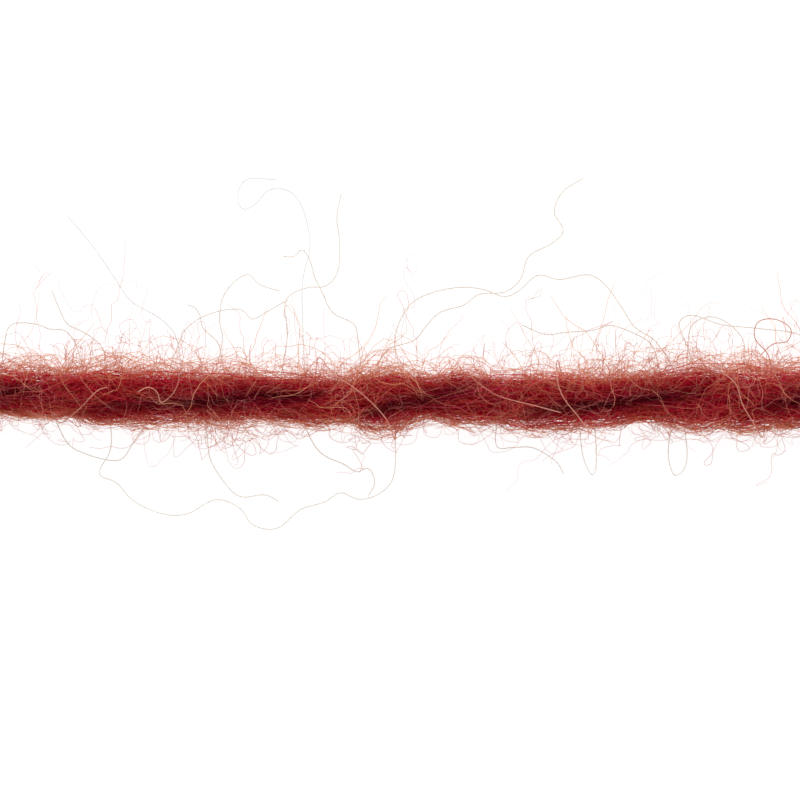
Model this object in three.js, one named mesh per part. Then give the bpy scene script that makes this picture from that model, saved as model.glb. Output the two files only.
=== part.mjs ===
// A short cut length of two-ply woollen knitting yarn, lying straight on a level surface.
// Millimetres, +Z up. X runs along the strand, and the origin is on its flat underside at mid-length.
import * as THREE from "three";
import { mergeVertices } from "three/addons/utils/BufferGeometryUtils.js";

const LENGTH = 40; // the cut length of the strand
const STEP = 0.4; // distance between two rings of points along the strand
const SIDES = 28; // points round each ring
const SINK = 0.14; // how far the soft underside flattens against the surface
const VALLEY_DEPTH = 0.2; // depth of the valley between the plies, as a share of the radius
const VALLEY_WIDTH = 0.42; // half width of the valley, as the cosine of its angle
const PLY_SWELL = 0.03; // how much each ply's crown stands out, as a share of the radius
const LUMP = 0.022; // unevenness of the spinning, as a share of the radius
const CUT_LENGTH = 0.5; // the stretch next to each cut end where the strand draws in
const CUT_SHRINK = 0.12; // share of the radius lost at the cut itself

const STRAY_THICKNESS = 0.1; // side of a stray fibre's three-sided section
const STEPS_PER_BEND = 4; // steps along a stray fibre for each of its bends
const STRAY_ROOT_DEPTH = 0.3; // how far a stray fibre's root reaches into the strand
const STRAY_FLOOR = 0.12; // lowest level of a stray fibre's middle line
const STRAY_CLEARANCE = 0.25; // smallest gap between the strand and a stray fibre's middle line over it

// One row for each section of the strand. across is its middle. turn is how far the line through both plies
// has turned from +Y, in degrees, left-handed along +X, which lays the plies in an S twist.
const SECTIONS = [
  { x: -20, across: 0.37, width: 1.95, height: 2.1, turn: -240 },
  { x: -18, across: 0.37, width: 1.85, height: 2.05, turn: -215 },
  { x: -16, across: 0.42, width: 1.77, height: 1.85, turn: -188 },
  { x: -15, across: 0.33, width: 1.86, height: 1.95, turn: -172 },
  { x: -14, across: 0.24, width: 1.95, height: 2.0, turn: -138 },
  { x: -13, across: 0.16, width: 2.13, height: 2.15, turn: -78 },
  { x: -12, across: 0.09, width: 2.27, height: 2.3, turn: -38 },
  { x: -10, across: 0.1, width: 2.08, height: 2.15, turn: -26 },
  { x: -8, across: 0.07, width: 1.9, height: 2.1, turn: -20 },
  { x: -6, across: 0.11, width: 1.81, height: 1.85, turn: 0 },
  { x: -4.4, across: 0.02, width: 1.91, height: 1.95, turn: 10 },
  { x: -3.4, across: -0.07, width: 1.96, height: 2.1, turn: 26 },
  { x: -2.4, across: -0.09, width: 2.03, height: 2.25, turn: 76 },
  { x: -1.5, across: -0.12, width: 2.26, height: 2.25, turn: 128 },
  { x: -0.4, across: -0.08, width: 2.36, height: 2.1, turn: 155 },
  { x: 1.2, across: 0.01, width: 1.58, height: 1.65, turn: 183 },
  { x: 2.4, across: 0.13, width: 2.26, height: 1.9, turn: 210 },
  { x: 3.4, across: -0.03, width: 2.3, height: 2.1, turn: 250 },
  { x: 4.6, across: -0.25, width: 2.15, height: 2.2, turn: 305 },
  { x: 6, across: -0.23, width: 2.0, height: 2.05, turn: 335 },
  { x: 8, across: -0.16, width: 1.9, height: 1.85, turn: 354 },
  { x: 10, across: 0.03, width: 1.76, height: 1.85, turn: 362 },
  { x: 12, across: 0.0, width: 2.74, height: 2.2, turn: 392 },
  { x: 13.1, across: -0.02, width: 2.86, height: 2.3, turn: 466 },
  { x: 14.2, across: 0.0, width: 2.5, height: 2.4, turn: 514 },
  { x: 16, across: 0.06, width: 2.45, height: 2.15, turn: 530 },
  { x: 18, across: 0.08, width: 2.35, height: 1.95, turn: 560 },
  { x: 20, across: 0.05, width: 2.2, height: 2.1, turn: 592 },
];

// One row for each stray fibre. It leaves the strand at rootX on the given side (1 is +Y, -1 is -Y) and runs
// through its bends, each a place [x, y]. One with a backX goes back into the strand there, on the same side
// unless a backSide is given, and the others end at their last bend. level is the height of an arch's middle,
// or else of the tip.
const STRAYS = [
  {
    name: "stray_far_left", rootX: -8.7, side: 1, level: 1.5,
    bends: [[-9.0, 2.6], [-9.5, 3.2], [-10.8, 4.0], [-11.4, 4.9], [-12.3, 6.2], [-13.3, 7.4]],
  },
  {
    name: "stray_left", rootX: -11.7, side: 1, level: 2.0,
    bends: [[-11.9, 2.1], [-12.3, 2.5], [-12.8, 2.8], [-13.2, 3.0], [-13.6, 3.8], [-13.8, 4.4]],
  },
  {
    name: "stray_left_arch", rootX: -16.0, side: 1, backX: -12.6, level: 1.7,
    bends: [[-15.8, 2.3], [-15.5, 3.0], [-14.4, 3.0], [-13.9, 2.8], [-13.4, 2.8], [-13.0, 2.3]],
  },
  {
    name: "stray_curl", rootX: -7.0, side: 1, level: 1.4,
    bends: [[-7.3, 2.3], [-7.6, 2.6], [-7.9, 2.9], [-8.0, 3.4], [-8.2, 3.7], [-8.5, 3.8]],
  },
  {
    name: "stray_tall_arch", rootX: -7.5, side: 1, level: 2.1,
    bends: [[-7.1, 2.5], [-7.2, 3.1], [-7.1, 4.0], [-6.6, 4.7], [-6.0, 5.0], [-5.6, 4.6], [-4.7, 4.3]],
  },
  {
    name: "stray_bridge", rootX: -9.4, side: 1, level: 1.8,
    bends: [[-8.8, 2.4], [-8.6, 2.8], [-7.7, 3.4], [-6.3, 3.6], [-5.9, 3.2], [-5.3, 3.5], [-4.4, 4.0]],
  },
  {
    name: "stray_upright", rootX: -4.8, side: 1, level: 2.4,
    bends: [
      [-4.5, 2.8], [-4.6, 3.5], [-4.5, 4.1], [-3.6, 4.5], [-3.0, 4.5], [-2.5, 5.0], [-2.4, 6.4], [-2.5, 7.2],
      [-2.3, 8.2],
    ],
  },
  {
    name: "stray_hook", rootX: -3.8, side: 1, level: 1.2,
    bends: [
      [-3.9, 3.0], [-3.9, 4.8], [-3.6, 6.2], [-4.0, 7.9], [-4.5, 8.4], [-5.3, 8.4], [-5.7, 7.9], [-6.3, 7.6],
      [-6.5, 8.0], [-6.2, 8.8], [-4.9, 8.8],
    ],
  },
  {
    name: "stray_kinked", rootX: -1.5, side: 1, level: 1.9,
    bends: [
      [-1.7, 2.5], [-1.8, 3.0], [-2.7, 3.5], [-3.1, 4.3], [-3.4, 4.9], [-3.6, 5.6], [-3.9, 6.0], [-4.2, 5.7],
      [-4.7, 5.7],
    ],
  },
  {
    name: "stray_longest", rootX: -1.2, side: 1, level: 2.2,
    bends: [
      [-0.5, 2.0], [0.6, 2.4], [1.0, 2.9], [1.6, 3.5], [2.6, 3.8], [3.1, 4.2], [4.2, 4.3], [4.8, 4.8],
      [5.1, 5.7], [6.0, 6.2], [6.5, 6.7], [6.1, 7.4], [6.4, 8.2], [7.3, 8.8],
    ],
  },
  {
    name: "stray_wide_arch", rootX: 0.1, side: 1, backX: 11.2, level: 1.4,
    bends: [
      [-0.2, 2.5], [0.3, 3.7], [0.8, 4.1], [2.3, 4.5], [3.4, 4.4], [4.2, 4.1], [4.8, 4.4], [5.5, 5.0],
      [6.3, 4.8], [7.6, 5.0], [8.2, 4.6], [8.8, 3.8], [9.4, 2.9], [10.2, 2.4],
    ],
  },
  {
    name: "stray_low_arch", rootX: 10.5, side: 1, level: 1.8,
    bends: [[10.1, 2.2], [9.5, 2.6], [8.3, 3.0], [7.8, 2.8], [6.6, 2.7], [5.8, 2.6], [4.8, 3.0]],
  },
  {
    name: "stray_right_long", rootX: 11.9, side: 1, backX: 17.9, level: 1.5,
    bends: [[11.3, 2.6], [11.1, 3.1], [11.5, 3.4], [12.8, 3.0], [13.8, 2.9], [14.8, 2.8], [16.0, 2.6]],
  },
  {
    name: "stray_right_arch", rootX: 11.5, side: 1, backX: 13.8, level: 2.1,
    bends: [[11.5, 2.4], [11.6, 3.0], [12.2, 3.3], [12.7, 3.2], [13.3, 2.8], [13.7, 2.3]],
  },
  {
    name: "stray_low_left", rootX: -11.6, side: -1, backX: -0.2, level: 0.4,
    bends: [
      [-11.6, -2.0], [-12.1, -3.0], [-11.4, -3.3], [-10.8, -4.0], [-9.5, -4.6], [-8.6, -4.6], [-7.4, -4.0],
      [-6.4, -4.4], [-6.0, -5.0], [-5.0, -5.2], [-4.0, -4.4], [-3.0, -4.1], [-2.4, -3.7], [-1.7, -4.0],
      [-0.9, -3.8], [-0.3, -3.2],
    ],
  },
  {
    name: "stray_low_middle", rootX: -7.8, side: -1, level: 0.9,
    bends: [[-7.7, -1.8], [-7.6, -2.4], [-6.7, -3.7], [-6.3, -3.9], [-5.4, -3.8], [-4.8, -4.1]],
  },
  {
    name: "stray_low_curl", rootX: -4.0, side: -1, level: 1.1,
    bends: [[-3.2, -2.1], [-2.2, -2.6], [-1.7, -2.9], [-1.3, -2.7], [-1.0, -3.3], [-1.3, -3.9]],
  },
  {
    name: "stray_low_sweep", rootX: -14.0, side: -1, backX: -10.0, level: 0.7,
    bends: [[-13.3, -1.8], [-12.8, -2.1], [-11.8, -2.4], [-11.2, -2.4], [-10.7, -1.7]],
  },
  {
    name: "stray_low_right", rootX: 3.9, side: -1, level: 0.8,
    bends: [[3.9, -1.9], [4.5, -1.9], [5.3, -1.9], [5.9, -2.2], [6.3, -2.5], [6.6, -3.0]],
  },
  {
    name: "stray_loop", rootX: 7.2, side: -1, backX: 7.8, level: 0.5,
    bends: [[7.4, -2.4], [7.8, -3.1], [7.9, -2.4]],
  },
  {
    name: "stray_right_loop", rootX: 10.9, side: -1, backX: 11.4, level: 0.6,
    bends: [[10.8, -2.4], [11.1, -3.1], [11.5, -2.6]],
  },
  {
    name: "stray_over_end", rootX: -18.9, side: 1, backX: -16.6, backSide: -1, level: 3.9,
    bends: [[-18.7, 1.3], [-18.3, 0.7], [-17.6, 0.3], [-17.1, -0.3], [-16.8, -1.0]],
  },
  {
    name: "stray_over_left", rootX: -14.0, side: -1, level: 3.4,
    bends: [[-13.6, -0.9], [-13.0, -0.6], [-12.5, -0.2], [-12.2, 0.1], [-11.8, 0.4], [-11.4, 0.5]],
  },
  {
    name: "stray_over_bend", rootX: -9.0, side: 1, level: 3.8,
    bends: [[-8.8, 1.2], [-8.8, 0.6], [-9.0, 0.2], [-9.4, -0.1], [-9.5, 0.3], [-9.8, 0.5], [-10.2, 0.3]],
  },
  {
    name: "stray_over_middle", rootX: -3.4, side: 1, backX: -0.2, backSide: -1, level: 4.3,
    bends: [[-3.2, 1.7], [-2.6, 1.0], [-1.8, 0.5], [-1.1, -0.1], [-0.5, -0.8], [-0.2, -1.6]],
  },
  {
    name: "stray_over_lobe", rootX: 2.2, side: 1, level: 3.7,
    bends: [[2.6, 1.1], [3.2, 0.6], [3.8, 0.2], [4.4, 0.0], [5.2, -0.2], [6.3, -0.5]],
  },
  {
    name: "stray_over_right", rootX: 6.6, side: 1, backX: 7.6, backSide: -1, level: 4.2,
    bends: [[6.2, 1.6], [6.1, 0.8], [6.3, 0.1], [6.9, -0.6], [7.5, -1.3]],
  },
  {
    name: "stray_over_far_right", rootX: 11.4, side: 1, backX: 14.6, backSide: -1, level: 4.2,
    bends: [[11.8, 1.6], [12.5, 1.1], [13.0, 0.6], [13.2, -0.1], [13.7, -0.8], [14.3, -1.5]],
  },
  {
    name: "stray_right_curl", rootX: 14.9, side: 1, level: 3.4,
    bends: [
      [14.7, 1.8], [14.1, 2.5], [14.2, 3.1], [14.8, 3.2], [15.4, 2.8], [15.2, 2.3], [14.6, 2.2], [14.0, 1.7],
    ],
  },
];

const WOOL = new THREE.MeshStandardMaterial({ color: 0x8c2422, roughness: 0.95, metalness: 0 });
const HAIR = new THREE.MeshStandardMaterial({ color: 0xd07c64, roughness: 0.8, metalness: 0 });

// A smooth curve through one column of the sections.
function column(name, x) {
  const next = SECTIONS.findIndex((row) => row.x > x);
  const last = next < 0 ? SECTIONS.length - 1 : Math.max(next, 1);
  const row = (i) => SECTIONS[THREE.MathUtils.clamp(i, 0, SECTIONS.length - 1)];
  const [before, from, to, after] = [row(last - 2), row(last - 1), row(last), row(last + 1)];
  const span = to.x - from.x;
  const t = (x - from.x) / span;
  const slopeIn = ((to[name] - before[name]) / (to.x - before.x)) * span;
  const slopeOut = ((after[name] - from[name]) / (after.x - from.x)) * span;
  return (
    from[name] * (2 * t ** 3 - 3 * t ** 2 + 1) +
    slopeIn * (t ** 3 - 2 * t ** 2 + t) +
    to[name] * (3 * t ** 2 - 2 * t ** 3) +
    slopeOut * (t ** 3 - t ** 2)
  );
}

// The strand's middle at x, lifted so that its underside is level with the surface.
function middle(x) {
  return new THREE.Vector3(x, column("across", x), column("height", x) / 2 - SINK);
}

// The distance from the middle to the wool at x, at an angle that is counted from +Y towards +Z.
function radius(x, angle) {
  const halfWidth = column("width", x) / 2;
  const halfHeight = column("height", x) / 2;
  const oval = 1 / Math.hypot(Math.cos(angle) / halfWidth, Math.sin(angle) / halfHeight);
  const turn = angle + THREE.MathUtils.degToRad(column("turn", x));
  const valley = VALLEY_DEPTH * Math.exp(-((Math.cos(turn) / VALLEY_WIDTH) ** 2));
  const swell = PLY_SWELL * Math.cos(2 * turn);
  const lump = LUMP * (Math.sin(2.1 * x + 3 * angle) + Math.sin(3.7 * x - 2 * angle + 1));
  const toCut = (LENGTH / 2 - Math.abs(x)) / CUT_LENGTH;
  const cut = CUT_SHRINK * Math.max(0, 1 - toCut) ** 2;
  return oval * (1 + swell - valley + lump - cut);
}

// The strand: a capped cylinder laid along X, whose points are moved out to the wool.
function strandGeometry() {
  const round = new THREE.CylinderGeometry(1, 1, LENGTH, SIDES, Math.round(LENGTH / STEP));
  round.rotateZ(-Math.PI / 2);
  round.deleteAttribute("normal");
  round.deleteAttribute("uv");
  const geometry = mergeVertices(round, 1e-4);
  const points = geometry.getAttribute("position");
  const point = new THREE.Vector3();
  for (let i = 0; i < points.count; i += 1) {
    point.fromBufferAttribute(points, i);
    const angle = Math.atan2(point.z, point.y);
    const reach = Math.hypot(point.y, point.z) * radius(point.x, angle);
    const centre = middle(point.x);
    const height = centre.z + reach * Math.sin(angle);
    points.setXYZ(i, point.x, centre.y + reach * Math.cos(angle), Math.max(0, height));
  }
  geometry.computeVertexNormals();
  return geometry;
}

// The point inside the strand where a stray fibre starts or ends.
function root(x, side) {
  const centre = middle(x);
  const angle = side > 0 ? 0 : Math.PI;
  const reach = radius(x, angle) - STRAY_ROOT_DEPTH;
  return new THREE.Vector3(x, centre.y + side * reach, centre.z);
}

// The lowest level at which a stray fibre's middle line may cross over the strand.
function clearOfStrand(x, y) {
  const centre = middle(x);
  const share = (y - centre.y) / (column("width", x) / 2);
  return centre.z + (column("height", x) / 2) * Math.sqrt(Math.max(0, 1 - share ** 2)) + STRAY_CLEARANCE;
}

// The middle line of a stray fibre.
function strayCurve(row) {
  const start = root(row.rootX, row.side);
  const isArch = row.backX !== undefined;
  const spans = row.bends.length + (isArch ? 1 : 0);
  const bends = row.bends.map(([x, y], i) => {
    const t = (i + 1) / spans;
    const rise = isArch ? Math.sin(Math.PI * t) : t;
    const z = start.z + (row.level - start.z) * rise;
    const isOver = Math.abs(y - middle(x).y) < column("width", x) / 2;
    return new THREE.Vector3(x, y, Math.max(isOver ? clearOfStrand(x, y) : STRAY_FLOOR, z));
  });
  const end = isArch ? [root(row.backX, row.backSide ?? row.side)] : [];
  return new THREE.CatmullRomCurve3([start, ...bends, ...end]);
}

function strayGeometry(row) {
  const corners = [0, 1, 2].map((i) => {
    const angle = (2 * Math.PI * i) / 3;
    const reach = STRAY_THICKNESS / Math.sqrt(3);
    return new THREE.Vector2(reach * Math.cos(angle), reach * Math.sin(angle));
  });
  const steps = STEPS_PER_BEND * (row.bends.length + 1);
  const options = { steps, bevelEnabled: false, extrudePath: strayCurve(row) };
  return new THREE.ExtrudeGeometry(new THREE.Shape(corners), options);
}

function named(name, geometry, material) {
  const mesh = new THREE.Mesh(geometry, material);
  mesh.name = name;
  return mesh;
}

const yarn = new THREE.Group();
yarn.add(named("yarn_strand", strandGeometry(), WOOL));
for (const row of STRAYS) {
  yarn.add(named(row.name, strayGeometry(row), HAIR));
}

export default yarn;
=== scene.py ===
"""A short straight length of fuzzy two-ply woollen knitting yarn, seen from straight above on a pale floor.

Everything is in metres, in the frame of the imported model: X along the strand, Y across it, Z up.
"""

import math
from collections import namedtuple
from functools import partial

import bpy
import numpy as np
from bpy.props import FloatProperty, FloatVectorProperty, IntProperty, PointerProperty
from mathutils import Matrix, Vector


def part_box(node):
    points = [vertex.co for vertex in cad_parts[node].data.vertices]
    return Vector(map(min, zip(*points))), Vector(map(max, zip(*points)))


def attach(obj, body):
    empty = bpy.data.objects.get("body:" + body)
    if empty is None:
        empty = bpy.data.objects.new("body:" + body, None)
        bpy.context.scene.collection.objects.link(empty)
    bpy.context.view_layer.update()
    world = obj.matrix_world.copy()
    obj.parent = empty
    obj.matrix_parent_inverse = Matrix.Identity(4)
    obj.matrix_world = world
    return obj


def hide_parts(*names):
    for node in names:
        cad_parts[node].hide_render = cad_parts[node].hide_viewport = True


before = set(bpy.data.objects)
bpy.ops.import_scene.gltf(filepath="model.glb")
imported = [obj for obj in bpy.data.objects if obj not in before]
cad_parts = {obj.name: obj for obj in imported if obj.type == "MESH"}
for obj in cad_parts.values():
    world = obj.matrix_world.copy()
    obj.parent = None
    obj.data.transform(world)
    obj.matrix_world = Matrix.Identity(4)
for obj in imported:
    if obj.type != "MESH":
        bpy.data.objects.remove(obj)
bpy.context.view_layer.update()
STRAND_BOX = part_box("yarn_strand")

bl_info = {
    "name": "Knitting yarn",
    "version": (1, 0, 0),
    "blender": (4, 5, 0),
    "location": "View3D > Sidebar > Yarn",
    "description": "Builds a short length of fuzzy two-ply woollen knitting yarn",
    "category": "Object",
}

MM = 0.001
HALF_LENGTH = STRAND_BOX[1].x
MIDDLE_Y = (STRAND_BOX[0].y + STRAND_BOX[1].y) / 2
MIDDLE_Z = STRAND_BOX[1].z / 2
PHOTO_WIDTH = 32 * MM

# Points of a solid's mesh that lie nearer than this are one point
WELD_DISTANCE = 1e-7

# How far the line through both plies has turned from +Y at x, in degrees, left-handed along +X, and how open
# the valleys between the plies are there, 1 being the most usual
Turn = namedtuple("Turn", "x turn gap")
TWIST = (
    Turn(-20.0, -240, 0.7),
    Turn(-18.0, -215, 0.7),
    Turn(-16.0, -188, 1.25),
    Turn(-15.0, -172, 1.05),
    Turn(-14.0, -138, 0.5),
    Turn(-13.0, -78, 0.45),
    Turn(-12.0, -38, 0.6),
    Turn(-10.0, -26, 0.9),
    Turn(-8.0, -20, 1.1),
    Turn(-6.0, 0, 0.8),
    Turn(-4.4, 10, 1.0),
    Turn(-3.4, 26, 0.8),
    Turn(-2.4, 76, 0.4),
    Turn(-1.5, 130, 1.2),
    Turn(-0.4, 155, 1.1),
    Turn(0.5, 172, 0.65),
    Turn(1.2, 185, 0.65),
    Turn(2.4, 210, 1.1),
    Turn(3.4, 248, 1.1),
    Turn(4.6, 312, 0.8),
    Turn(5.4, 330, 0.75),
    Turn(6.0, 339, 0.8),
    Turn(8.0, 354, 1.2),
    Turn(9.3, 359, 0.8),
    Turn(10.0, 362, 0.9),
    Turn(11.0, 374, 0.8),
    Turn(12.0, 392, 0.6),
    Turn(13.1, 466, 0.4),
    Turn(14.2, 514, 0.4),
    Turn(16.0, 530, 1.0),
    Turn(18.0, 560, 0.7),
    Turn(20.0, 592, 0.7),
)

# How high the fuzz stands on the far side of the strand (+Y) and on its near side, 1 being its usual height
Fuzz = namedtuple("Fuzz", "x far near")
FUZZ = (
    Fuzz(-20.0, 0.95, 0.4),
    Fuzz(-15.5, 1.0, 0.4),
    Fuzz(-13.6, 1.0, 0.25),
    Fuzz(-12.4, 1.1, 0.1),
    Fuzz(-11.2, 1.15, 0.1),
    Fuzz(-9.6, 0.95, 0.25),
    Fuzz(-8.0, 0.95, 0.85),
    Fuzz(-6.0, 0.85, 0.35),
    Fuzz(-4.8, 0.9, 0.25),
    Fuzz(-3.2, 1.0, 0.3),
    Fuzz(-1.6, 1.15, 0.45),
    Fuzz(0.0, 0.9, 0.3),
    Fuzz(1.6, 0.75, 0.3),
    Fuzz(4.8, 0.6, 0.22),
    Fuzz(6.4, 1.2, 0.3),
    Fuzz(8.0, 1.8, 0.35),
    Fuzz(9.6, 1.25, 0.3),
    Fuzz(11.2, 0.85, 0.28),
    Fuzz(14.4, 1.1, 0.25),
    Fuzz(20.0, 1.1, 0.25),
)


# Node trees


class Field:
    """A number or vector in a node tree. Sums, products and powers of fields add their Math nodes."""

    def __init__(self, tree, socket):
        self.tree = tree
        self.socket = socket

    def __add__(self, other):
        return combine(self.tree, "ADD", self, other)

    def __radd__(self, other):
        return combine(self.tree, "ADD", other, self)

    def __sub__(self, other):
        return combine(self.tree, "SUBTRACT", self, other)

    def __rsub__(self, other):
        return combine(self.tree, "SUBTRACT", other, self)

    def __mul__(self, other):
        return combine(self.tree, "MULTIPLY", self, other)

    def __rmul__(self, other):
        return combine(self.tree, "MULTIPLY", other, self)

    def __truediv__(self, other):
        return combine(self.tree, "DIVIDE", self, other)

    def __pow__(self, other):
        return combine(self.tree, "POWER", self, other)

    def __neg__(self):
        return combine(self.tree, "MULTIPLY", self, -1.0)


def is_vector(part):
    return isinstance(part, Field) and part.socket.type in {"VECTOR", "RGBA"}


def combine(tree, operation, *parts):
    """A Math node on these parts, or a Vector Math node where one of them is a vector."""
    kind = "ShaderNodeVectorMath" if any(is_vector(p) for p in parts) else "ShaderNodeMath"
    node = add_node(tree, kind, {"operation": operation}, dict(enumerate(parts)))
    return Field(tree, node.outputs[0])


def find_socket(sockets, key):
    """The socket with this number, or the first one in use with this name."""
    if isinstance(key, int):
        return sockets[key]
    return next(s for s in sockets if s.name == key and s.enabled)


def add_node(tree, kind, settings=None, inputs=None):
    """Adds a node, sets its settings and then its inputs, each a value, a field or a socket."""
    node = tree.nodes.new(kind)
    for name, value in (settings or {}).items():
        setattr(node, name, value)
    for key, value in (inputs or {}).items():
        socket = find_socket(node.inputs, key)
        if isinstance(value, Field):
            value = value.socket
        if isinstance(value, bpy.types.NodeSocket):
            tree.links.new(value, socket)
        elif socket.type == "VECTOR" and isinstance(value, (int, float)):
            socket.default_value = (value, value, value)
        elif socket.type == "RGBA" and len(value) == 3:
            socket.default_value = (*value, 1.0)
        else:
            socket.default_value = value
    return node


def field_of(tree, kind, settings=None, inputs=None, output=0):
    """Adds a node and returns one of its outputs as a field."""
    node = add_node(tree, kind, settings, inputs)
    return Field(tree, find_socket(node.outputs, output))


# Objects


def add_object(name, data):
    """Adds an object with this data to the scene."""
    item = bpy.data.objects.new(name, data)
    bpy.context.scene.collection.objects.link(item)
    return item


def refine(item, inset):
    """Adds modifiers that weld a solid's loose triangles, round them and draw the surface in by inset."""
    weld = item.modifiers.new("weld", "WELD")
    weld.merge_threshold = WELD_DISTANCE
    finer = item.modifiers.new("finer", "SUBSURF")
    finer.levels = finer.render_levels = 1
    if inset:
        drawn_in = item.modifiers.new("drawn_in", "DISPLACE")
        drawn_in.strength = -inset
        drawn_in.mid_level = 0


def evaluated_mesh(item):
    """What the object's modifiers make of its mesh, as a plain mesh."""
    graph = bpy.context.evaluated_depsgraph_get()
    return bpy.data.meshes.new_from_object(item.evaluated_get(graph))


# Fibres


# How far out a ray starts that looks for the strand's surface, and how far from the cut ends it stays
RAY_LENGTH = 20 * MM
END_MARGIN = 0.3 * MM

# The height of the fuzz past which it makes a fibre longer, but no steeper
HIGHEST_FUZZ = 1.15

# The share of its slope's changes that a fibre keeps where there is no fuzz
LEAST_SWAY = 0.1

# How far apart two fibres and two seeds lie in the noise that bends them
FIBRES_APART = 7.31
SEEDS_APART = 3.7

# Lowest place of a fibre's middle over the floor, as a share of its thickness
LOWEST_MIDDLE = 0.65

# Where a fibre turns from the strand's colours to the rim's paler ones, and from those to the far ends' paler
# still, both painted light
LIFTED_FROM = 0.15
LIFTED_OVER = 0.45 * MM
FAR_FROM = 0.25 * MM
FAR_OVER = 0.9 * MM

# The thickness of single fibres as shares of the usual one, and the share that a fibre loses towards its tip
THINNEST = 0.7
THICKEST = 1.3
TAPER = 0.4

FIBRE_INPUTS = (
    # name, kind, what it sets
    ("Count", "NodeSocketInt", "Number of fibres"),
    ("Points", "NodeSocketInt", "Points along each fibre"),
    ("Start", "NodeSocketFloat", "Where the first fibre may start along the strand"),
    ("End", "NodeSocketFloat", "Where the last fibre may start along the strand"),
    ("Gather", "NodeSocketFloat", "How strongly the fibres start at the strand's sides, from 0 to 0.5"),
    ("Shortest", "NodeSocketFloat", "Length of the shortest fibre where the fuzz has its usual height"),
    ("Longest", "NodeSocketFloat", "Length of the longest fibre there"),
    ("Lay", "NodeSocketFloat", "How far the fibres' headings may turn away from the strand's, in radians"),
    ("Wander", "NodeSocketFloat", "How much a fibre's heading changes on its way"),
    ("Bends", "NodeSocketFloat", "Changes of a fibre's heading for each metre"),
    ("Depth", "NodeSocketFloat", "Smallest share of the strand's radius at which a fibre lies"),
    ("Top", "NodeSocketFloat", "Largest share of the strand's radius at which a fibre lies"),
    ("Packing", "NodeSocketFloat", "Power that, below 1, makes fibres near the top rare"),
    ("Bury", "NodeSocketFloat", "How far under that level a fibre may start"),
    ("Climb", "NodeSocketFloat", "Steepest slope at which a fibre leaves the strand, in radians"),
    ("Rarity", "NodeSocketFloat", "Power that makes steep fibres rare"),
    ("Loft", "NodeSocketFloat", "How much a fibre's slope changes on its way"),
    ("Arches", "NodeSocketFloat", "Share of the fibres that come back to the strand"),
    ("Thickness", "NodeSocketFloat", "Thickness of a fibre"),
    ("Fray", "NodeSocketFloat", "How far a fibre may reach past the cut"),
    ("Seed", "NodeSocketInt", "Seed of the random numbers"),
    ("Material", "NodeSocketMaterial", "Wool of the fibres"),
)


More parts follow.
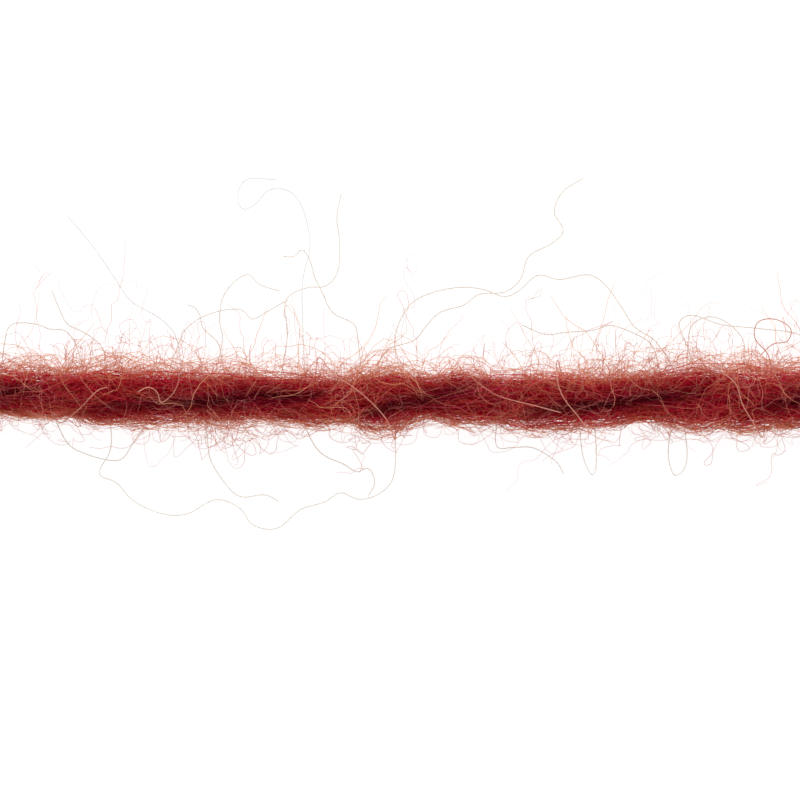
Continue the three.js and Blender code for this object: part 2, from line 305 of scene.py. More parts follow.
def fibre_tree():
    """Fibres that lie on the strand or rise from it. The modifier's own mesh is the strand's surface."""
    tree = bpy.data.node_groups.new("wool_fibres", "GeometryNodeTree")
    tree.interface.new_socket("Geometry", in_out="INPUT", socket_type="NodeSocketGeometry")
    for name, kind, description in FIBRE_INPUTS:
        socket = tree.interface.new_socket(name, in_out="INPUT", socket_type=kind)
        socket.description = description
    tree.interface.new_socket("Geometry", in_out="OUTPUT", socket_type="NodeSocketGeometry")
    group = add_node(tree, "NodeGroupInput")
    given = {s.name: Field(tree, s) for s in group.outputs if s.name}

    line = add_node(tree, "GeometryNodeCurvePrimitiveLine")
    points = add_node(
        tree,
        "GeometryNodeResampleCurve",
        {},
        {"Curve": line.outputs[0], "Count": given["Points"]},
    )
    copies = add_node(
        tree,
        "GeometryNodeDuplicateElements",
        {"domain": "SPLINE"},
        {"Geometry": points.outputs[0], "Amount": given["Count"]},
    )
    fibre = field_of(tree, "GeometryNodeCurveOfPoint")
    along = field_of(tree, "GeometryNodeSplineParameter")

    def chance(low, high, salt):
        inputs = {"Min": low, "Max": high, "ID": fibre, "Seed": given["Seed"] + salt}
        return field_of(tree, "FunctionNodeRandomValue", {"data_type": "FLOAT"}, inputs, "Value")

    def sine(value):
        return field_of(tree, "ShaderNodeMath", {"operation": "SINE"}, {0: value})

    def cosine(value):
        return field_of(tree, "ShaderNodeMath", {"operation": "COSINE"}, {0: value})

    def largest(value, low):
        return combine(tree, "MAXIMUM", value, low)

    def smallest(value, high):
        return combine(tree, "MINIMUM", value, high)

    def vector(x, y, z):
        return field_of(tree, "ShaderNodeCombineXYZ", {}, {"X": x, "Y": y, "Z": z})

    def split(value):
        node = add_node(tree, "ShaderNodeSeparateXYZ", {}, {"Vector": value})
        return [Field(tree, output) for output in node.outputs]

    def surface_at(x, turn, name):
        """The strand's axis, the way out, the surface and this attribute of it at x and an angle from +Y."""
        x_inside = smallest(largest(x, -HALF_LENGTH + END_MARGIN), HALF_LENGTH - END_MARGIN)
        axis = vector(x_inside, MIDDLE_Y, MIDDLE_Z)
        outwards = vector(0.0, cosine(turn), sine(turn))
        value = field_of(tree, "GeometryNodeInputNamedAttribute", {"data_type": "FLOAT"}, {"Name": name})
        hit = add_node(
            tree,
            "GeometryNodeRaycast",
            {"data_type": "FLOAT"},
            {
                "Target Geometry": given["Geometry"],
                "Attribute": value,
                "Source Position": axis + outwards * RAY_LENGTH,
                "Ray Direction": -outwards,
                "Ray Length": RAY_LENGTH,
            },
        )
        return axis, outwards, Field(tree, hit.outputs["Hit Position"]), Field(tree, hit.outputs["Attribute"])

    # Where each fibre starts, and how long and steep it is
    start_x = chance(given["Start"], given["End"], 1)
    spin = chance(0.0, 2 * math.pi, 2)
    start_turn = spin - given["Gather"] * sine(spin * 2.0)
    fuzz = surface_at(start_x, start_turn, "fuzz")[3]
    capped_fuzz = smallest(fuzz, HIGHEST_FUZZ)
    longer = (given["Longest"] - given["Shortest"]) * chance(0.0, 1.0, 3) ** 2.0
    length = (given["Shortest"] + longer) * (0.5 + 0.5 * fuzz)
    way = combine(tree, "SIGN", chance(-1.0, 1.0, 4))
    lay = given["Lay"] * (chance(-1.0, 1.0, 5) + chance(-1.0, 1.0, 6)) * 0.5
    climb = given["Climb"] * capped_fuzz * chance(0.0, 1.0, 7) ** given["Rarity"]
    is_arch = combine(tree, "LESS_THAN", chance(0.0, 1.0, 8), given["Arches"])

    # Its headings along the way, and their sum
    bend_at = vector(along * length * given["Bends"], fibre * FIBRES_APART, given["Seed"] * SEEDS_APART)
    noise = field_of(
        tree,
        "ShaderNodeTexNoise",
        {"noise_dimensions": "3D"},
        {"Vector": bend_at, "Scale": 1.0, "Detail": 1.0, "Roughness": 0.5},
        "Color",
    )
    turn_noise, climb_noise, _ = split(noise - 0.5)
    heading = lay + turn_noise * given["Wander"]
    sway = climb_noise * given["Loft"] * (LEAST_SWAY + (1.0 - LEAST_SWAY) * capped_fuzz)
    slope = climb * (1.0 - 2.0 * along * is_arch) + sway
    step = vector(cosine(slope) * cosine(heading), cosine(slope) * sine(heading), sine(slope))
    step = step * (length / (given["Points"] - 1.0))
    walk = add_node(
        tree,
        "GeometryNodeAccumulateField",
        {"data_type": "FLOAT_VECTOR", "domain": "POINT"},
        {"Value": step, "Group ID": fibre},
    )
    run, round_about, rise = split(Field(tree, walk.outputs["Trailing"]))
    whole_rise = split(Field(tree, walk.outputs["Total"]))[2]
    lift = rise - along * whole_rise * is_arch - given["Bury"] * chance(0.0, 1.0, 9)

    # Its places
    x = start_x + run * way
    turn = start_turn + round_about * way / (MIDDLE_Z + largest(lift, 0.0) * 0.5)
    axis, outwards, surface, hollow = surface_at(x, turn, "hollow")
    share = given["Top"] - (given["Top"] - given["Depth"]) * chance(0.0, 1.0, 10) ** given["Packing"]
    ground = axis + (surface - axis) * share
    past_the_cut = vector(x - split(axis)[0], 0.0, 0.0)
    across = split(ground + outwards * lift + past_the_cut)
    height = largest(across[2], given["Thickness"] * LOWEST_MIDDLE)
    place = vector(across[0], across[1], height)

    # Kept for the material: the fibre's own tone, how far it stands off, near by and far out, which paint it
    # paler as painted light, and the painted shade of the valley that it lies in
    stands_off = lift - (1.0 - share) * MIDDLE_Z
    kept = {
        "tone": chance(0.0, 1.0, 11),
        "lifted": smallest(largest(stands_off / LIFTED_OVER - LIFTED_FROM, 0.0), 1.0),
        "far": smallest(largest((lift - FAR_FROM) / FAR_OVER, 0.0), 1.0),
        "hollow": hollow,
    }
    curves = copies.outputs[0]
    for name, value in kept.items():
        stored = add_node(
            tree,
            "GeometryNodeStoreNamedAttribute",
            {"data_type": "FLOAT", "domain": "POINT"},
            {"Geometry": curves, "Name": name, "Value": value},
        )
        curves = stored.outputs[0]

    thickness = given["Thickness"] * chance(THINNEST, THICKEST, 12) * (1.0 - TAPER * along**4.0)
    sized = add_node(tree, "GeometryNodeSetCurveRadius", {}, {"Curve": curves, "Radius": thickness * 0.5})
    moved = add_node(tree, "GeometryNodeSetPosition", {}, {"Geometry": sized.outputs[0], "Position": place})
    cut_at = HALF_LENGTH + given["Fray"] * chance(0.0, 1.0, 13)
    here = split(field_of(tree, "GeometryNodeInputPosition"))[0]
    too_far = combine(tree, "GREATER_THAN", combine(tree, "ABSOLUTE", here), cut_at)
    cut = add_node(
        tree,
        "GeometryNodeDeleteGeometry",
        {"domain": "POINT"},
        {"Geometry": moved.outputs[0], "Selection": too_far},
    )
    # Its section is two sides of a triangle, which is enough at its size
    section = add_node(
        tree,
        "GeometryNodeCurveArc",
        {"mode": "RADIUS"},
        {"Resolution": 3, "Radius": 1.0, "Start Angle": math.radians(150), "Sweep Angle": math.radians(240)},
    )
    radius = field_of(tree, "GeometryNodeInputRadius")
    fibres = add_node(
        tree,
        "GeometryNodeCurveToMesh",
        {},
        {"Curve": cut.outputs[0], "Profile Curve": section.outputs[0], "Scale": radius},
    )
    smooth = add_node(tree, "GeometryNodeSetShadeSmooth", {}, {"Geometry": fibres.outputs[0]})
    whole = add_node(tree, "GeometryNodeRealizeInstances", {}, {"Geometry": smooth.outputs[0]})
    dressed = add_node(
        tree,
        "GeometryNodeSetMaterial",
        {},
        {"Geometry": whole.outputs[0], "Material": given["Material"]},
    )
    add_node(tree, "NodeGroupOutput", {}, {"Geometry": dressed.outputs[0]})
    return tree


def grow_fibres(name, material, seed, **values):
    """Runs the fibre tree on the strand's surface and adds its fibres as a plain mesh object."""
    tree = bpy.data.node_groups.get("wool_fibres") or fibre_tree()
    helper = add_object(name + "_helper", bpy.data.meshes["strand_surface"])
    modifier = helper.modifiers.new("fibres", "NODES")
    modifier.node_group = tree
    values = {"Seed": seed, "Material": material, **values}
    for item in tree.interface.items_tree:
        if item.in_out == "INPUT" and item.name in values:
            modifier[item.identifier] = values[item.name]
    mesh = evaluated_mesh(helper)
    bpy.data.objects.remove(helper)
    mesh.name = name
    piece = add_object(name, mesh)
    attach(piece, "root")


# Materials


def colour_ramp(tree, value, stops):
    node = add_node(tree, "ShaderNodeValToRGB", {}, {"Fac": value})
    ramp = node.color_ramp
    while len(ramp.elements) < len(stops):
        ramp.elements.new(1.0)
    for element, (place, colour) in zip(ramp.elements, stops):
        element.position = place
        element.color = (*colour, 1.0)
    return Field(tree, node.outputs["Color"])


def mix_colours(tree, factor, first, second):
    inputs = {0: factor, 6: first, 7: second}
    node = add_node(tree, "ShaderNodeMix", {"data_type": "RGBA"}, inputs)
    return Field(tree, node.outputs[2])


def new_material(name):
    material = bpy.data.materials.new(name)
    material.use_nodes = True
    material.node_tree.nodes.clear()
    return material


def attribute(tree, name):
    return field_of(tree, "ShaderNodeAttribute", {"attribute_name": name}, {}, "Fac")


def shade_fibre(tree, colour, through, share):
    """A dull surface that lets this share of the light through."""
    cloth = add_node(
        tree,
        "ShaderNodeBsdfPrincipled",
        {},
        {"Base Color": colour, "Roughness": 0.8, "Specular IOR Level": 0.0},
    )
    glow = add_node(tree, "ShaderNodeBsdfTranslucent", {}, {"Color": through})
    mixed = add_node(tree, "ShaderNodeMixShader", {}, {0: share, 1: cloth.outputs[0], 2: glow.outputs[0]})
    add_node(tree, "ShaderNodeOutputMaterial", {}, {"Surface": mixed.outputs[0]})


# The darkest tone of a fibre, the painted shade that a valley puts on its colour, and how much of the light
# through it a valley takes away
LEAST_TONE = 0.25
VALLEY_SHADE = 0.85
VALLEY_BLOCKS = 0.6

# The shares of the light that come through a fibre on the strand and through one that stands off it
THROUGH_DYED = (0.5, 0.6)
THROUGH_FUZZ = (0.68, 0.8)
THROUGH_HALO = (0.6, 0.6)

# How much painted shade darkens the imported wool in a valley
CORE_SHADE = 0.8

# The share of the light that comes through a stray hair
THROUGH_A_HAIR = 0.72


def wool_material(name, dyes, rim, pale, through, least_through, most_through):
    """Dyed wool fibres with their own tones, painted shade in the valleys, and painted light that pales them
    as they stand off.
    """
    material = new_material(name)
    tree = material.node_tree
    tone = attribute(tree, "tone")
    lifted = attribute(tree, "lifted")
    hollow = attribute(tree, "hollow")
    # Painted shade: the valleys darken a fibre's tone, and so the colour picked from the dyes below
    level = (LEAST_TONE + (1.0 - LEAST_TONE) * tone) * (1.0 - VALLEY_SHADE * hollow)
    deep, bright = dyes
    dyed = colour_ramp(tree, level, [(0.0, deep), (0.8, bright), (0.86, bright), (1.0, rim)])
    # Painted light: fibres that stand off the strand, and their far ends more, are painted paler than its
    # dyes
    colour = mix_colours(tree, attribute(tree, "far"), mix_colours(tree, lifted, dyed, rim), pale)
    unblocked = 1.0 - VALLEY_BLOCKS * hollow * (1.0 - lifted)
    share = (least_through + (most_through - least_through) * lifted) * unblocked
    shade_fibre(tree, colour, through, share)
    return material


def core_material(deep, bright):
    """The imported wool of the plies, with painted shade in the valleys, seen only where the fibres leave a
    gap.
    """
    material = new_material("packed_wool")
    tree = material.node_tree
    place = field_of(tree, "ShaderNodeTexCoord", {}, {}, "Object")
    stretched = add_node(tree, "ShaderNodeMapping", {}, {"Vector": place, "Scale": (0.16, 1.0, 1.0)})
    streaks = field_of(
        tree,
        "ShaderNodeTexNoise",
        {},
        {"Vector": stretched.outputs[0], "Scale": 16000.0, "Detail": 3.0, "Roughness": 0.6},
        "Fac",
    )
    # Painted shade: the streaked wool is darker in the valleys
    lit = streaks * (1.0 - CORE_SHADE * attribute(tree, "hollow"))
    colour = colour_ramp(tree, lit, [(0.3, deep), (0.75, bright)])
    bump = add_node(
        tree,
        "ShaderNodeBump",
        {},
        {"Strength": 0.6, "Distance": 0.05 * MM, "Height": streaks},
    )
    cloth = add_node(
        tree,
        "ShaderNodeBsdfPrincipled",
        {},
        {
            "Base Color": colour,
            "Roughness": 0.9,
            "Specular IOR Level": 0.0,
            "Subsurface Weight": 1.0,
            "Subsurface Radius": (1.0, 0.12, 0.1),
            "Subsurface Scale": 0.5 * MM,
            "Normal": bump.outputs[0],
        },
    )
    add_node(tree, "ShaderNodeOutputMaterial", {}, {"Surface": cloth.outputs[0]})
    return material


def hair_material(name, hair, second, through):
    """A wool hair, blotched with a second colour."""
    material = new_material(name)
    tree = material.node_tree
    place = field_of(tree, "ShaderNodeTexCoord", {}, {}, "Object")
    noise = {"Vector": place, "Scale": 900.0, "Detail": 2.0}
    blotches = field_of(tree, "ShaderNodeTexNoise", {}, noise, "Fac")
    colour = colour_ramp(tree, blotches, [(0.35, hair), (0.65, second)])
    shade_fibre(tree, colour, through, THROUGH_A_HAIR)
    return material


# Settings


# Colours and lengths that a user may change
ColourProperty = partial(FloatVectorProperty, subtype="COLOR", min=0, max=1)
LengthProperty = partial(FloatProperty, unit="LENGTH")


class YarnStageSettings(bpy.types.PropertyGroup):
    floor_glow: FloatProperty(
        name="Floor glow", description="Light that the floor gives off", default=0.92, min=0
    )
    horizon: FloatProperty(
        name="Horizon", description="Brightness of the studio near the floor", default=1.6, min=0
    )
    zenith: FloatProperty(name="Zenith", description="Brightness of the studio overhead", default=0.12, min=0)
    tilt: FloatProperty(
        name="Tilt", description="How much brighter the far side (+Y) of the studio is", default=0.35
    )
    key: FloatProperty(
        name="Key light",
        description="Power of the soft lamp on the far side",
        default=0.004,
        min=0,
        unit="POWER",
    )


class YarnStrandSettings(bpy.types.PropertyGroup):
    inset: LengthProperty(
        name="Inset", description="Depth of the packed wool under the solid", default=0.5 * MM
    )
    deep: ColourProperty(name="Deep", description="Darkest dye", default=(0.08, 0.003, 0.007))
    bright: ColourProperty(name="Bright", description="Brightest dye", default=(0.95, 0.036, 0.11))
    through: ColourProperty(
        name="Through",
        description="Colour of the light that comes through a dyed fibre",
        default=(0.98, 0.075, 0.18),
    )
    valley: LengthProperty(
        name="Valley", description="How far the wool sinks in between the plies", default=0.22 * MM
    )


class YarnFuzzSettings(bpy.types.PropertyGroup):
    face_count: IntProperty(name="Face fibres", description="Fibres on the face", default=6600, min=1)
    fuzz_count: IntProperty(name="Fuzz fibres", description="Fibres in the short fuzz", default=4200, min=1)
    halo_count: IntProperty(name="Halo fibres", description="Long curled fibres", default=1800, min=1)
    end_count: IntProperty(name="Cut fibres", description="Fibres in each cut end", default=500, min=1)
    thickness: LengthProperty(
        name="Fibre thickness", description="Thickness of one fibre", default=0.032 * MM
    )
    # Painted light: fibres that stand off the strand take these paler colours in place of its dyes
    rim: ColourProperty(
        name="Rim", description="Colour of fibres that stand alone", default=(0.95, 0.25, 0.32)
    )
    pale: ColourProperty(
        name="Pale", description="Colour of the fibres' far ends", default=(0.74, 0.28, 0.3)
    )
    lone: ColourProperty(
        name="Lone fibre", description="Colour of the long curled fibres", default=(0.8, 0.19, 0.26)
    )
    lone_through: ColourProperty(
        name="Through a lone fibre",
        description="Colour of the light that comes through a long curled fibre",
        default=(0.82, 0.38, 0.25),
    )
    hair: ColourProperty(
        name="Hair", description="Colour of the long stray hairs", default=(0.92, 0.74, 0.66)
    )
    hair_second: ColourProperty(
        name="Hair's blotches",
        description="Second colour of the long stray hairs",
        default=(0.93, 0.8, 0.72),
    )
    hair_through: ColourProperty(
        name="Through a hair",
        description="Colour of the light that comes through a long stray hair",
        default=(0.99, 0.96, 0.9),
    )
    faint_hair: ColourProperty(
        name="Faint hair",
        description="Colour of the faint stray hairs, lit from either side",
        default=(0.985, 0.945, 0.89),
    )
    palest_hair: ColourProperty(
        name="Palest hair",
        description="Colour of the two palest stray hairs, lit from either side",
        default=(0.985, 0.98, 0.965),
    )
    # Painted shade: the hairs over the strand are painted darker and pinker than the others, as the strand
    # hides the floor's light behind them
    over_hair: ColourProperty(
        name="Hair over the strand",
        description="Colour of the stray hairs that lie over the strand",
        default=(0.72, 0.36, 0.33),
    )
    over_through: ColourProperty(
        name="Through a hair over the strand",
        description="Colour of the light that comes through a hair over the strand",
        default=(0.92, 0.62, 0.52),
    )
    thinning: LengthProperty(
        name="Thinning",
        description="How far a stray hair's surface lies under its solid's",
        default=0.012 * MM,
    )
    through: ColourProperty(
        name="Through",
        description="Colour of the light that comes through a fibre",
        default=(0.98, 0.56, 0.3),
    )


# Stage


def add_camera(scene):
    data = bpy.data.cameras.new("camera")
    data.lens = 100
    data.clip_start = 0.005
    data.clip_end = 10
    camera = add_object("camera", data)
    distance = PHOTO_WIDTH * data.lens / data.sensor_width
    camera.location = (0, 0, MIDDLE_Z + distance)
    scene.camera = camera


def add_floor(settings):
    half = 1.5
    mesh = bpy.data.meshes.new("floor")
    corners = [(-half, -half, 0), (half, -half, 0), (half, half, 0), (-half, half, 0)]
    mesh.from_pydata(corners, [], [(0, 1, 2, 3)])
    material = new_material("pale_floor")
    tree = material.node_tree
    surface = add_node(
        tree,
        "ShaderNodeBsdfPrincipled",
        {},
        {
            "Base Color": (0.3, 0.3, 0.3, 1.0),
            "Roughness": 0.8,
            "Specular IOR Level": 0.1,
            "Emission Color": (1.0, 1.0, 1.0, 1.0),
            "Emission Strength": settings.floor_glow,
        },
    )
    add_node(tree, "ShaderNodeOutputMaterial", {}, {"Surface": surface.outputs[0]})
    mesh.materials.append(material)
    floor = add_object("floor", mesh)


def add_light(scene, settings):
    world = bpy.data.worlds.new("studio")
    world.use_nodes = True
    tree = world.node_tree
    tree.nodes.clear()
    direction = field_of(tree, "ShaderNodeTexCoord", {}, {}, "Generated")
    parts = add_node(tree, "ShaderNodeSeparateXYZ", {}, {"Vector": direction})
    height = Field(tree, parts.outputs["Z"]) - Field(tree, parts.outputs["Y"]) * settings.tilt
    rise = add_node(
        tree,
        "ShaderNodeMapRange",
        {"interpolation_type": "SMOOTHSTEP"},
        {
            "Value": height,
            "From Min": 0.1,
            "From Max": 0.9,
            "To Min": settings.horizon,
            "To Max": settings.zenith,
        },
    )
    back = add_node(
        tree,
        "ShaderNodeBackground",
        {},
        {"Color": (1.0, 1.0, 1.0, 1.0), "Strength": rise.outputs[0]},
    )
    add_node(tree, "ShaderNodeOutputWorld", {}, {"Surface": back.outputs[0]})
    scene.world = world
    lamp = bpy.data.lights.new("key_light", "AREA")
    lamp.energy = settings.key
    lamp.size = 0.12
    key = add_object("key_light", lamp)
    key.location = (-0.03, 0.16, 0.14)
    key.rotation_euler = (-key.location).to_track_quat("-Z", "Y").to_euler()
    scene.view_settings.view_transform = "Standard"
    scene.cycles.use_denoising = True


class YARN_OT_stage(bpy.types.Operator):
    """Adds the camera straight above the strand, the pale floor and the soft light"""

    bl_idname = "yarn.stage"
    bl_label = "Stage"

    def execute(self, context):
        settings = context.scene.yarn_stage
        add_camera(context.scene)
        add_floor(settings)
        add_light(context.scene, settings)
        return {"FINISHED"}


# Strand


# Points of the strand's solid whose x differs by less than this are of one ring
RING_DEPTH = 1e-6

# How wide the valleys are, the share of their painted shade that is left at the strand's sides, which the
# floor lights, and the share of its height that the fuzz keeps on the strand's top and underside
VALLEY_WIDTH = 0.45
SHADED_AT_SIDES = 0.25
FUZZ_ON_TOP = 0.3


def strand_rings():
    """The middle and half width of the strand's solid at each of its rings of points, from end to end."""
    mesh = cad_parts["yarn_strand"].data
    points = np.empty(len(mesh.vertices) * 3)
    mesh.vertices.foreach_get("co", points)
    points = points.reshape(-1, 3)
    rings = []
    for x in np.unique(points[:, 0].round(6)):
        ring = points[np.abs(points[:, 0] - x) < RING_DEPTH]
        low = ring.min(axis=0)
        high = ring.max(axis=0)
        rings.append((x, *((low + high) / 2)[1:], *((high - low) / 2)[1:]))
    return np.array(rings)


def strand_surface(inset, valley, name):
    """A finer copy of the strand's solid, drawn in by inset, with painted valley shade and fuzz as
    attributes.
    """
    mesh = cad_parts["yarn_strand"].data.copy()
    mesh.materials.clear()
    helper = add_object(name + "_helper", mesh)
    refine(helper, inset)
    finer = evaluated_mesh(helper)
    bpy.data.objects.remove(helper)
    finer.name = name
    finer.polygons.foreach_set("use_smooth", [True] * len(finer.polygons))
    add_wool_attributes(finer, valley)
    return finer


def add_wool_attributes(mesh, valley):
    """Stores the painted shade of the valleys and how high the fuzz stands, and sinks the valleys."""
    points = np.empty(len(mesh.vertices) * 3)
    mesh.vertices.foreach_get("co", points)
    x, y, z = points.reshape(-1, 3).T
    rings = strand_rings()
    middle_y = np.interp(x, rings[:, 0], rings[:, 1])
    middle_z = np.interp(x, rings[:, 0], rings[:, 2])
    angle = np.arctan2(z - middle_z, y - middle_y)
    outwards = np.cos(angle)
    upwards = np.sin(angle)

    def at_x(rows, column):
        return np.interp(x / MM, [row.x for row in rows], [getattr(row, column) for row in rows])

    turn = np.radians(at_x(TWIST, "turn"))
    hollow = at_x(TWIST, "gap") * np.exp(-((np.cos(angle + turn) / VALLEY_WIDTH) ** 2))
    far = at_x(FUZZ, "far")
    near = at_x(FUZZ, "near")
    fuzz = near + (far - near) * (0.5 + 0.5 * outwards)
    fuzz = fuzz * (FUZZ_ON_TOP + (1.0 - FUZZ_ON_TOP) * np.abs(outwards))
    # Painted shade of the valleys, stored as the hollow attribute: it darkens the wool's colour, less at the
    # strand's sides, which the floor lights
    shaded = hollow * (SHADED_AT_SIDES + (1.0 - SHADED_AT_SIDES) * upwards**2)
    sunk = np.stack((x, y - outwards * valley * hollow, z - upwards * valley * hollow), axis=1)
    mesh.vertices.foreach_set("co", sunk.ravel())
    for name, values in (("hollow", shaded), ("fuzz", fuzz)):
        layer = mesh.attributes.new(name, "FLOAT", "POINT")
        layer.data.foreach_set("value", values.astype(np.float32))


class YARN_OT_strand(bpy.types.Operator):
    """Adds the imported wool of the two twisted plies"""

    bl_idname = "yarn.strand"
    bl_label = "Strand"

    def execute(self, context):
        settings = context.scene.yarn_strand
        strand_surface(0.0, settings.valley, "strand_surface")
        mesh = strand_surface(settings.inset, settings.valley, "wool_strand")
        mesh.materials.append(core_material(settings.deep, settings.bright))
        core = add_object("wool_strand", mesh)
        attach(core, "root")
        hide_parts("yarn_strand")
        return {"FINISHED"}


# Fibres on the strand


class YARN_OT_face(bpy.types.Operator):
    """Adds the fibres that lie on the face of the plies"""

    bl_idname = "yarn.face"
    bl_label = "Face fibres"

    def execute(self, context):
        fuzz = context.scene.yarn_fuzz
        strand = context.scene.yarn_strand
        dyes = (strand.deep, strand.bright)
        wool = wool_material("face_wool", dyes, fuzz.rim, fuzz.rim, strand.through, *THROUGH_DYED)
        for number in (1, 2):
            grow_fibres(
                f"face_fibres_{number}",
                wool,
                seed=number,
                Count=fuzz.face_count // 2,
                Points=9,
                Start=-HALF_LENGTH - 2 * MM,
                End=HALF_LENGTH + 2 * MM,
                Shortest=2.2 * MM,
                Longest=8.0 * MM,
                Lay=0.6,
                Wander=2.5,
                Bends=400.0,
                Depth=0.45,
                Top=0.95,
                Packing=0.4,
                Bury=0.05 * MM,
                Climb=0.2,
                Rarity=1.5,
                Loft=1.2,
                Arches=1.0,
                Thickness=fuzz.thickness,
                Fray=0.3 * MM,
            )
        return {"FINISHED"}


class YARN_OT_ends(bpy.types.Operator):
    """Adds the cut fibres that fill both ends of the strand"""

    bl_idname = "yarn.ends"
    bl_label = "Cut ends"

    def execute(self, context):
        fuzz = context.scene.yarn_fuzz
        strand = context.scene.yarn_strand
        dyes = (strand.deep, strand.bright)
        wool = wool_material("end_wool", dyes, fuzz.rim, fuzz.rim, strand.through, *THROUGH_DYED)
        for number, side in ((1, -1), (2, 1)):
            near_cut = side * (HALF_LENGTH - 0.5 * MM)
            grow_fibres(
                f"end_fibres_{number}",
                wool,
                seed=40 + number,
                Count=fuzz.end_count,
                Points=6,
                Start=near_cut - 0.6 * MM,
                End=near_cut + 0.6 * MM,
                Shortest=1.2 * MM,
                Longest=3.2 * MM,
                Lay=0.5,
                Wander=2.5,
                Bends=500.0,
                Depth=0.0,
                Top=1.0,
                Packing=0.5,
                Bury=0.0,
                Climb=0.15,
                Rarity=1.0,
                Loft=1.2,
                Arches=1.0,
                Thickness=fuzz.thickness,
                Fray=0.5 * MM,
            )
        return {"FINISHED"}


class YARN_OT_halo(bpy.types.Operator):
    """Adds the fuzz that stands off the strand"""

    bl_idname = "yarn.halo"
    bl_label = "Halo"

    def execute(self, context):
        fuzz = context.scene.yarn_fuzz
        strand = context.scene.yarn_strand
        dyes = (strand.deep, strand.bright)
        wool = wool_material("fuzz_wool", dyes, fuzz.rim, fuzz.pale, fuzz.through, *THROUGH_FUZZ)
        lone = wool_material("halo_wool", dyes, fuzz.lone, fuzz.pale, fuzz.lone_through, *THROUGH_HALO)
        for number in (1, 2):
            grow_fibres(
                f"fuzz_fibres_{number}",
                wool,
                seed=20 + number,
                Count=fuzz.fuzz_count // 2,
                Points=11,
                Start=-HALF_LENGTH - 1 * MM,
                End=HALF_LENGTH + 1 * MM,
                Gather=0.32,
                Shortest=1.4 * MM,
                Longest=5.0 * MM,
                Lay=0.9,
                Wander=6.0,
                Bends=650.0,
                Depth=0.8,
                Top=1.02,
                Packing=1.0,
                Bury=0.1 * MM,
                Climb=1.25,
                Rarity=1.0,
                Loft=2.4,
                Arches=0.9,
                Thickness=fuzz.thickness * 0.66,
                Fray=0.4 * MM,
            )
            grow_fibres(
                f"halo_fibres_{number}",
                lone,
                seed=30 + number,
                Count=fuzz.halo_count // 2,
                Points=28,
                Start=-HALF_LENGTH,
                End=HALF_LENGTH,
                Gather=0.32,
                Shortest=3.8 * MM,
                Longest=10.0 * MM,
                Lay=1.5,
                Wander=13.0,
                Bends=620.0,
                Depth=0.9,
                Top=1.0,
                Packing=1.0,
                Bury=0.1 * MM,
                Climb=0.95,
                Rarity=0.8,
                Loft=12.0,
                Arches=0.85,
                Thickness=fuzz.thickness * 0.48,
                Fray=0.6 * MM,
            )
        return {"FINISHED"}


# Stray hairs


# Stray hairs whose tops are higher than the first of these lie over the strand. Of the others, those that
# reach further along +Y than the second leave it on its far side.
OVER_FROM = 3 * MM
FAR_SIDE_FROM = 2 * MM

PALEST_HAIRS = ("stray_far_left", "stray_hook")
FAINT_HAIRS = PALEST_HAIRS + (
    "stray_upright",
    "stray_tall_arch",
    "stray_bridge",
    "stray_curl",
    "stray_low_left",
    "stray_low_middle",
    "stray_low_sweep",
    "stray_low_right",
    "stray_loop",
    "stray_right_loop",
    "stray_over_left",
)


def add_hairs(name, nodes, wools, thinning):
    """One piece for these stray fibres: their solids rounded and thinned to the real thickness of a hair."""
    parts = []
    for node in nodes:
        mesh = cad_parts[node].data.copy()
        mesh.materials.clear()
        mesh.materials.append(wools[node])
        part = add_object(node + "_hair", mesh)
        refine(part, thinning)
        parts.append(part)
    meshes = [evaluated_mesh(part) for part in parts]
    for part, mesh in zip(parts, meshes):
        part.modifiers.clear()
        part.data = mesh
    with bpy.context.temp_override(active_object=parts[0], selected_editable_objects=parts):
        bpy.ops.object.join()
    piece = parts[0]
    piece.name = name
    piece.data.name = name
    piece.data.polygons.foreach_set("use_smooth", [True] * len(piece.data.polygons))
    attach(piece, "root")
    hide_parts(*nodes)


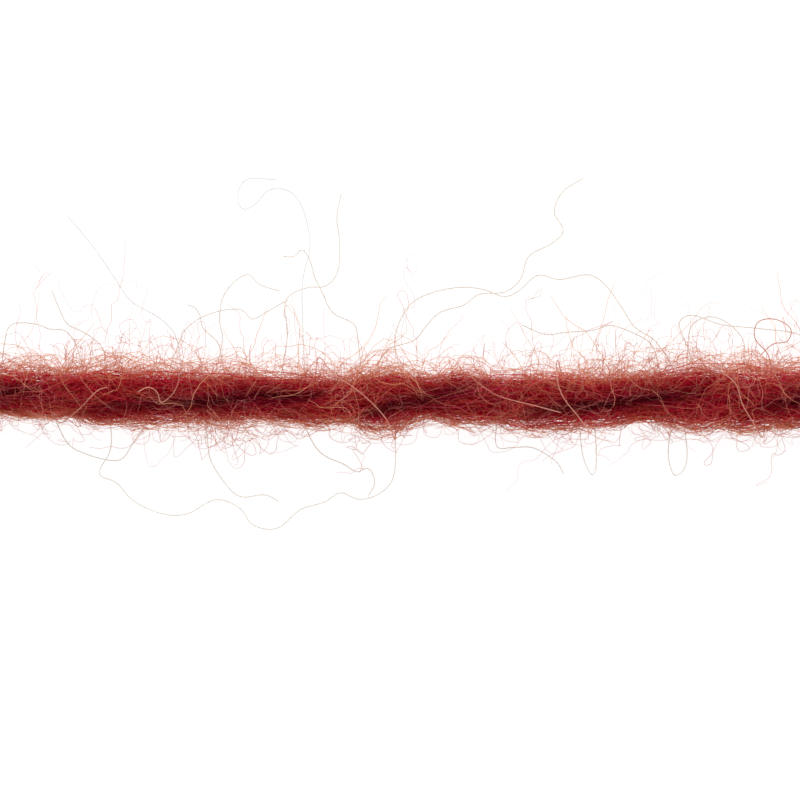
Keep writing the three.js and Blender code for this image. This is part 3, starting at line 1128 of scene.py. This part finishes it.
class YARN_OT_hairs(bpy.types.Operator):
    """Adds the long stray hairs on both sides of the strand and over it"""

    bl_idname = "yarn.hairs"
    bl_label = "Stray hairs"

    def execute(self, context):
        fuzz = context.scene.yarn_fuzz
        strong = hair_material("hair_wool", fuzz.hair, fuzz.hair_second, fuzz.hair_through)
        faint = hair_material("faint_hair_wool", fuzz.faint_hair, fuzz.faint_hair, fuzz.faint_hair)
        palest = hair_material("palest_hair_wool", fuzz.palest_hair, fuzz.palest_hair, fuzz.palest_hair)
        # Painted shade: the hairs over the strand get darker, pinker colours than those beside it
        laid_over = hair_material("over_hair_wool", fuzz.over_hair, fuzz.over_hair, fuzz.over_through)
        strays = [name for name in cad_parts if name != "yarn_strand"]
        over = [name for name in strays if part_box(name)[1].z > OVER_FROM]
        above = [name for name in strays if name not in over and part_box(name)[1].y > FAR_SIDE_FROM]
        below = [name for name in strays if name not in over + above]
        wools = dict.fromkeys(strays, strong)
        wools.update(dict.fromkeys(FAINT_HAIRS, faint))
        wools.update(dict.fromkeys(PALEST_HAIRS, palest))
        wools.update(dict.fromkeys(over, laid_over))
        for name, nodes in (("hairs_over", over), ("hairs_above", above), ("hairs_below", below)):
            add_hairs(name, nodes, wools, fuzz.thinning)
        return {"FINISHED"}


# Cord: a step that only reads the strand's rings and adds nothing


class YARN_OT_cord(bpy.types.Operator):
    bl_idname = "yarn.cord"
    bl_label = "Cord"

    def execute(self, context):
        rings = strand_rings()
        return {"FINISHED"}


# Panel and classes


class YARN_PT_panel(bpy.types.Panel):
    """Lists the steps that build the yarn"""

    bl_idname = "YARN_PT_panel"
    bl_label = "Knitting yarn"
    bl_space_type = "VIEW_3D"
    bl_region_type = "UI"
    bl_category = "Yarn"

    def draw(self, context):
        for name, settings in SETTINGS.items():
            for setting in settings.__annotations__:
                self.layout.prop(getattr(context.scene, name), setting)
        for step in STEPS:
            self.layout.operator(step.bl_idname)


STEPS = (
    YARN_OT_stage,
    YARN_OT_strand,
    YARN_OT_face,
    YARN_OT_ends,
    YARN_OT_halo,
    YARN_OT_hairs,
    YARN_OT_cord,
)
SETTINGS = {
    "yarn_stage": YarnStageSettings,
    "yarn_strand": YarnStrandSettings,
    "yarn_fuzz": YarnFuzzSettings,
}
CLASSES = (*SETTINGS.values(), *STEPS, YARN_PT_panel)


def register():
    for item in CLASSES:
        bpy.utils.register_class(item)
    for name, settings in SETTINGS.items():
        setattr(bpy.types.Scene, name, PointerProperty(type=settings))


def unregister():
    for name in reversed(SETTINGS):
        delattr(bpy.types.Scene, name)
    for item in reversed(CLASSES):
        bpy.utils.unregister_class(item)


def main():
    register()
    for step in STEPS:
        group, name = step.bl_idname.split(".")
        getattr(getattr(bpy.ops, group), name)()


if __name__ == "__main__":
    main()
